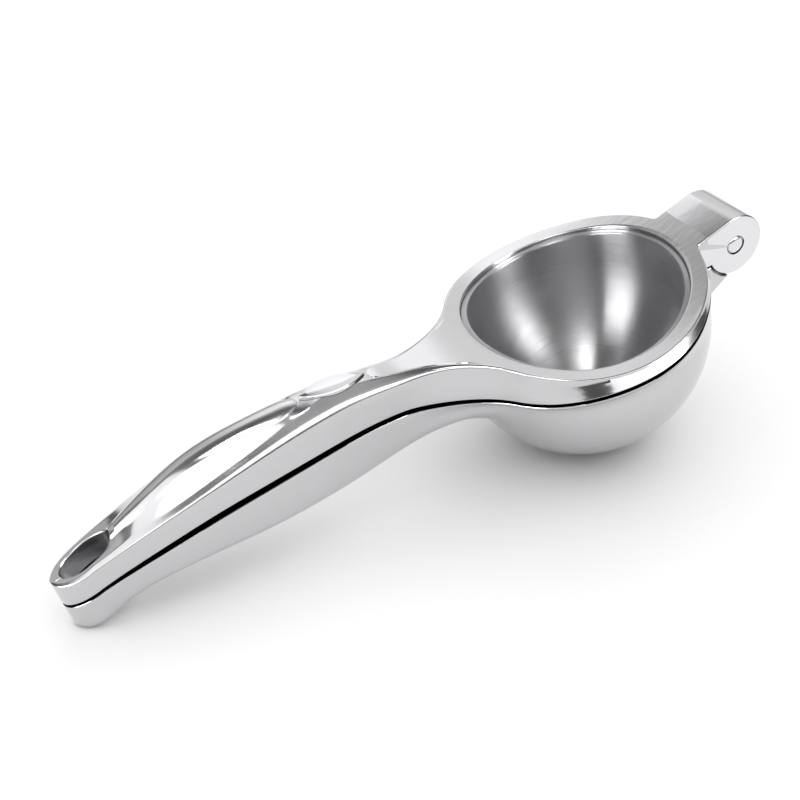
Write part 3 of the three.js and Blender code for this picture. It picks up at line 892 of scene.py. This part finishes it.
def chrome(name, base, roughness, dents, scratches, seed, with_painted_shading=False):
    """Polished plated metal: faint waviness, hairline scratches, cloudy gloss."""
    material, nodes, links, shader = new_material(name)
    shader.inputs["Metallic"].default_value = 1
    place = nodes.new("ShaderNodeTexCoord")
    cloud = nodes.new("ShaderNodeTexNoise")
    cloud.inputs["Scale"].default_value = 60
    cloud.inputs["Detail"].default_value = 4
    shift = nodes.new("ShaderNodeMapping")
    shift.inputs["Location"].default_value = (seed, seed * 2, seed * 3)
    links.new(place.outputs["Object"], shift.inputs["Vector"])
    links.new(shift.outputs["Vector"], cloud.inputs["Vector"])
    gloss = nodes.new("ShaderNodeMapRange")
    gloss.inputs["From Min"].default_value = 0.3
    gloss.inputs["From Max"].default_value = 0.7
    gloss.inputs["To Min"].default_value = roughness * 0.8
    gloss.inputs["To Max"].default_value = roughness * 1.3
    links.new(cloud.outputs["Fac"], gloss.inputs["Value"])
    links.new(gloss.outputs["Result"], shader.inputs["Roughness"])
    tint = nodes.new("ShaderNodeMix")
    tint.data_type = "RGBA"
    tint.inputs["A"].default_value = (*[c * 0.96 for c in base], 1)
    tint.inputs["B"].default_value = (*base, 1)
    links.new(cloud.outputs["Fac"], tint.inputs["Factor"])
    # Painted shade and highlight: when asked for, the base colour is scaled by the per-corner factor
    # that darkens the gaps and the hanging hole and brightens the ears.
    painted_shading = nodes.new("ShaderNodeAttribute")
    painted_shading.attribute_name = "painted_shade_and_highlight"
    shade = nodes.new("ShaderNodeVectorMath")
    shade.operation = "SCALE"
    links.new(tint.outputs["Result"], shade.inputs[0])
    links.new(painted_shading.outputs["Fac"], shade.inputs["Scale"])
    links.new(shade.outputs["Vector"] if with_painted_shading else tint.outputs["Result"], shader.inputs["Base Color"])
    fine = nodes.new("ShaderNodeTexNoise")
    fine.inputs["Scale"].default_value = 420
    fine.inputs["Detail"].default_value = 6
    stretch = nodes.new("ShaderNodeMapping")
    stretch.inputs["Scale"].default_value = (0.25, 1, 1)
    links.new(shift.outputs["Vector"], stretch.inputs["Vector"])
    links.new(stretch.outputs["Vector"], fine.inputs["Vector"])
    relief = nodes.new("ShaderNodeBump")
    relief.inputs["Strength"].default_value = dents
    relief.inputs["Distance"].default_value = 0.0001
    links.new(fine.outputs["Fac"], relief.inputs["Height"])
    lines = nodes.new("ShaderNodeTexNoise")
    lines.inputs["Scale"].default_value = 900
    lines.inputs["Detail"].default_value = 2
    draw = nodes.new("ShaderNodeMapping")
    draw.inputs["Rotation"].default_value = (0.1, 0.05, 0.3)
    draw.inputs["Scale"].default_value = (0.04, 1, 1)
    links.new(shift.outputs["Vector"], draw.inputs["Vector"])
    links.new(draw.outputs["Vector"], lines.inputs["Vector"])
    hairline = nodes.new("ShaderNodeBump")
    hairline.inputs["Strength"].default_value = scratches
    hairline.inputs["Distance"].default_value = 0.00005
    links.new(lines.outputs["Fac"], hairline.inputs["Height"])
    links.new(relief.outputs["Normal"], hairline.inputs["Normal"])
    links.new(hairline.outputs["Normal"], shader.inputs["Normal"])
    return material


def turned(name, base, roughness, seed):
    """Lathe-turned metal: rings round the cup's axis in gloss and height."""
    material, nodes, links, shader = new_material(name)
    shader.inputs["Metallic"].default_value = 1
    place = nodes.new("ShaderNodeTexCoord")
    split = nodes.new("ShaderNodeSeparateXYZ")
    links.new(place.outputs["Object"], split.inputs["Vector"])
    across = nodes.new("ShaderNodeMath")
    across.operation = "MULTIPLY"
    links.new(split.outputs["X"], across.inputs[0])
    links.new(split.outputs["X"], across.inputs[1])
    along = nodes.new("ShaderNodeMath")
    along.operation = "MULTIPLY_ADD"
    links.new(split.outputs["Y"], along.inputs[0])
    links.new(split.outputs["Y"], along.inputs[1])
    links.new(across.outputs[0], along.inputs[2])
    radius = nodes.new("ShaderNodeMath")
    radius.operation = "SQRT"
    links.new(along.outputs[0], radius.inputs[0])
    height = nodes.new("ShaderNodeMath")
    height.operation = "SUBTRACT"
    height.inputs[1].default_value = CUP_CENTRE_Z * MM
    links.new(split.outputs["Z"], height.inputs[0])
    polar = nodes.new("ShaderNodeMath")
    polar.operation = "ARCTAN2"
    links.new(height.outputs[0], polar.inputs[0])
    links.new(radius.outputs[0], polar.inputs[1])
    rings = nodes.new("ShaderNodeTexNoise")
    rings.noise_dimensions = "1D"
    rings.inputs["Scale"].default_value = 70
    rings.inputs["Detail"].default_value = 5
    rings.inputs["Roughness"].default_value = 0.7
    offset = nodes.new("ShaderNodeMath")
    offset.operation = "ADD"
    offset.inputs[1].default_value = seed
    links.new(polar.outputs[0], offset.inputs[0])
    links.new(offset.outputs[0], rings.inputs["W"])
    gloss = nodes.new("ShaderNodeMapRange")
    gloss.inputs["To Min"].default_value = roughness * 0.75
    gloss.inputs["To Max"].default_value = roughness * 1.25
    links.new(rings.outputs["Fac"], gloss.inputs["Value"])
    links.new(gloss.outputs["Result"], shader.inputs["Roughness"])
    tint = nodes.new("ShaderNodeMix")
    tint.data_type = "RGBA"
    tint.inputs["A"].default_value = (*[c * 0.9 for c in base], 1)
    tint.inputs["B"].default_value = (*base, 1)
    links.new(rings.outputs["Fac"], tint.inputs["Factor"])
    links.new(tint.outputs["Result"], shader.inputs["Base Color"])
    relief = nodes.new("ShaderNodeBump")
    relief.inputs["Strength"].default_value = 0.35
    relief.inputs["Distance"].default_value = 0.00015
    links.new(rings.outputs["Fac"], relief.inputs["Height"])
    links.new(relief.outputs["Normal"], shader.inputs["Normal"])
    grain = nodes.new("ShaderNodeTangent")
    grain.direction_type = "RADIAL"
    grain.axis = "Z"
    links.new(grain.outputs["Tangent"], shader.inputs["Tangent"])
    shader.inputs["Anisotropic"].default_value = 0.98
    shader.inputs["Anisotropic Rotation"].default_value = 0.25
    return material


def floor_material():
    material, _, _, shader = new_material("pale_floor")
    shader.inputs["Base Color"].default_value = (0.9, 0.9, 0.9, 1)
    shader.inputs["Roughness"].default_value = 0.9
    return material


# ---------------------------------------------------------------------------
# Assembly
# ---------------------------------------------------------------------------
joint = frame["joints"][0]
pivot = Vector(joint["pos_m"])
turn = Matrix.Rotation(-REST_TILT, 4, "Y")
ring_frame = Matrix.Translation(pivot) @ turn @ Matrix.Translation((-PIN_X * MM, 0, -PIN_Z * MM))


def settle(obj, material, body, node):
    """Scales a piece to metres, sets it in the ring's frame and hands it over."""
    obj.data.transform(Matrix.Scale(MM, 4))
    obj.data.materials.clear()
    obj.data.materials.append(material)
    if material == cup_metal:
        obj.matrix_world = ring_frame
    else:
        obj.data.transform(ring_frame)
    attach(obj, body)
    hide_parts(node)


# The levers' chrome carries the painted shade in the gaps and hole and the painted highlight on the
# ears.
lever_chrome = chrome("polished_chrome", (0.59, 0.59, 0.6), 0.15, 0.3, 0.2, 0.3, with_painted_shading=True)
plate_chrome = chrome("badge_chrome", (0.63, 0.63, 0.64), 0.1, 0.2, 0.15, 0.7)
pin_metal = chrome("pin_steel", (0.75, 0.75, 0.76), 0.16, 0.3, 0.3, 0.5)
cup_metal = turned("turned_steel", (0.55, 0.55, 0.56), 0.3, 0.4)

settle(upper_handle(), lever_chrome, "upper_lever", "upper_handle")
settle(badge_plate(), plate_chrome, "upper_lever", "badge_plate")
cup = press_cup()
settle(cup, cup_metal, "upper_lever", "press_cup")
settle(hinge_pin(), pin_metal, "upper_lever", "hinge_pin")
settle(lower_handle(), lever_chrome, "lower_lever", "lower_handle")


# ---------------------------------------------------------------------------
# Floor, light and camera, in metres. The sky's rows are [height, radiance], and
# the panels' are [direction, [outer, inner] angle in degrees, radiance].
# ---------------------------------------------------------------------------
FLOOR_HALF = 9
SKY = [[0, 0.1], [0.45, 0.12], [0.66, 0.3], [0.8, 0.28], [0.93, 0.14]]
PANELS = [[(0.5, 0.72, 0.48), (38, 12), 0.85], [(0.45, -0.35, 0.82), (34, 10), 0.4],
          [(0.66, -0.74, 0.1), (26, 8), 0.6]]
BACKDROP = 0.95
LIGHTS_AIM = (0, 0, 0.03)
CAMERA_AZIMUTH = math.radians(-25.06)
CAMERA_ELEVATION = math.radians(36.34)
CAMERA_ROLL = math.radians(-4.47)
CAMERA_DISTANCE = 0.3379
CAMERA_AIM = (-0.0049, 0.0027, 0.0305)
CAMERA_LENS = 56.55


def area_light(name, place, aim, size, power):
    light = bpy.data.lights.new(name, "AREA")
    light.shape = "RECTANGLE"
    light.size, light.size_y = size
    light.energy = power
    obj = bpy.data.objects.new(name, light)
    bpy.context.scene.collection.objects.link(obj)
    obj.location = place
    obj.rotation_euler = (Vector(aim) - Vector(place)).to_track_quat("-Z", "Y").to_euler()
    return obj


far = FLOOR_HALF
floor = mesh_object("floor", [(-far, -far, 0), (far, -far, 0), (far, far, 0), (-far, far, 0)],
                    [(0, 1, 2, 3)])
floor.data.materials.append(floor_material())


def studio_world():
    """Dim studio with soft bright patches of wall. The backdrop itself is pale."""
    world = bpy.data.worlds.new("studio")
    bpy.context.scene.world = world
    world.use_nodes = True
    nodes, links = world.node_tree.nodes, world.node_tree.links
    place = nodes.new("ShaderNodeTexCoord")
    split = nodes.new("ShaderNodeSeparateXYZ")
    links.new(place.outputs["Generated"], split.inputs["Vector"])
    ramp = nodes.new("ShaderNodeValToRGB")
    ramp.color_ramp.elements[0].position, first = SKY[0]
    ramp.color_ramp.elements[0].color = (first, first, first, 1)
    ramp.color_ramp.elements[1].position, second = SKY[1]
    ramp.color_ramp.elements[1].color = (second, second, second, 1)
    for height, value in SKY[2:]:
        ramp.color_ramp.elements.new(height).color = (value, value, value, 1)
    links.new(split.outputs["Z"], ramp.inputs["Fac"])
    total = ramp.outputs["Color"]
    for direction, angles, radiance in PANELS:
        toward = nodes.new("ShaderNodeVectorMath")
        toward.operation = "DOT_PRODUCT"
        toward.inputs[1].default_value = Vector(direction).normalized()
        links.new(place.outputs["Generated"], toward.inputs[0])
        panel = nodes.new("ShaderNodeMapRange")
        panel.interpolation_type = "SMOOTHSTEP"
        panel.inputs["From Min"].default_value = math.cos(math.radians(angles[0]))
        panel.inputs["From Max"].default_value = math.cos(math.radians(angles[1]))
        panel.inputs["To Max"].default_value = radiance
        links.new(toward.outputs["Value"], panel.inputs["Value"])
        both = nodes.new("ShaderNodeMath")
        both.operation = "ADD"
        links.new(total, both.inputs[0])
        links.new(panel.outputs["Result"], both.inputs[1])
        total = both.outputs["Value"]
    path = nodes.new("ShaderNodeLightPath")
    seen = nodes.new("ShaderNodeMix")
    seen.inputs["B"].default_value = BACKDROP
    links.new(path.outputs["Is Camera Ray"], seen.inputs["Factor"])
    links.new(total, seen.inputs["A"])
    links.new(seen.outputs["Result"], nodes["Background"].inputs["Color"])


studio_world()


def softbox(name, direction, distance, size, radiance):
    """Rectangle light facing the object. Power follows from the wanted radiance."""
    place = Vector(direction).normalized() * distance
    power = radiance * math.pi * size[0] * size[1]
    obj = area_light(name, place, LIGHTS_AIM, size, power)
    obj.visible_camera = False
    return obj


for_all = [softbox("right_softbox", (0.519, -0.629, 0.576), 0.944, (0.34, 0.42), 10.0),
           softbox("left_softbox", (-0.922, -0.096, 0.374), 0.863, (0.46, 0.3), 11.0),
           softbox("top_softbox", (-0.191, -0.0895, 0.977), 0.916, (0.26, 0.26), 10.0)]
for_levers = [softbox("front_softbox", (-0.03, -0.742, 0.669), 0.9, (1.3, 0.66), 1.6),
              softbox("tip_softbox", (-0.78, -0.22, 0.58), 0.9, (0.8, 0.7), 1.2),
              softbox("back_softbox", (-0.2, 0.82, 0.52), 0.9, (1.2, 0.6), 0.5)]
fill = softbox("fill_light", (0, 0, 1), 3.0, (8, 8), 1.25)
fill.visible_glossy = False

# Three small lights are for every piece, and three wide ones for every piece but
# the cup. The floor has the fill light, which no piece reflects.
pieces = bpy.data.collections.new("lit_pieces")
levers = bpy.data.collections.new("lit_levers")
for obj in bpy.context.scene.objects:
    if obj.type == "MESH" and obj != floor:
        pieces.objects.link(obj)
        if obj != cup:
            levers.objects.link(obj)
for light in for_all:
    light.light_linking.receiver_collection = pieces
for light in for_levers:
    light.light_linking.receiver_collection = levers

bpy.context.scene.view_settings.view_transform = "Standard"

back = Vector((math.sin(CAMERA_AZIMUTH) * math.cos(CAMERA_ELEVATION),
               -math.cos(CAMERA_AZIMUTH) * math.cos(CAMERA_ELEVATION), math.sin(CAMERA_ELEVATION)))
camera_data = bpy.data.cameras.new("camera")
camera_data.lens = CAMERA_LENS
camera_data.clip_start = 0.01
camera = bpy.data.objects.new("camera", camera_data)
bpy.context.scene.collection.objects.link(camera)
level = back.to_track_quat("Z", "Y").to_matrix().to_4x4()
camera.matrix_world = (Matrix.Translation(Vector(CAMERA_AIM) + back * CAMERA_DISTANCE)
                       @ level @ Matrix.Rotation(CAMERA_ROLL, 4, "Z"))
bpy.context.scene.camera = camera
